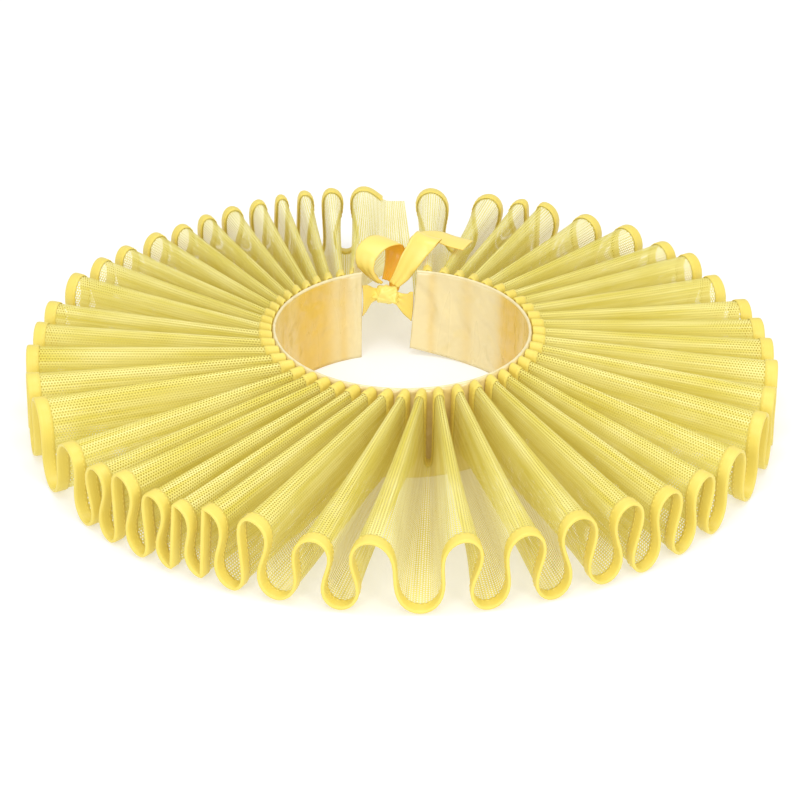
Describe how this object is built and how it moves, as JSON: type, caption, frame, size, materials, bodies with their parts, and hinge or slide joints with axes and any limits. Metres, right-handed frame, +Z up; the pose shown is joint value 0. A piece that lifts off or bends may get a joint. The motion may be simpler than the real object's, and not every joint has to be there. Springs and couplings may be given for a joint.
{
  "type": "pleated ruff collar with a neckband and ribbon ties",
  "caption": "Detachable pleated net ruff with satin-bound edges on a standing satin neckband that ties at the back with a ribbon bow.",
  "frame": {"origin": "on the floor, under the middle of the ruffle's round outline", "axes": "+Z up, the front of the collar faces -Y, the tied opening is at +Y, +X is the right side seen from the front"},
  "size_m": [0.376, 0.376, 0.0626],
  "materials": {
    "net": "fine stiff yellow net, half see-through",
    "satin_binding": "yellow satin ribbon with a soft sheen",
    "satin_band": "pale yellow satin, lightly creased",
    "satin_ribbon": "yellow satin ribbon of the ties and bow"
  },
  "bodies": {
    "root": {"net_ruffle": "net", "outer_binding": "satin_binding", "inner_binding": "satin_binding", "neckband": "satin_band", "left_tie": "satin_ribbon", "right_tie": "satin_ribbon", "knot": "satin_ribbon", "left_bow_loop": "satin_ribbon", "right_bow_loop": "satin_ribbon", "right_tail": "satin_ribbon", "left_tail": "satin_ribbon"}
  },
  "joints": []
}
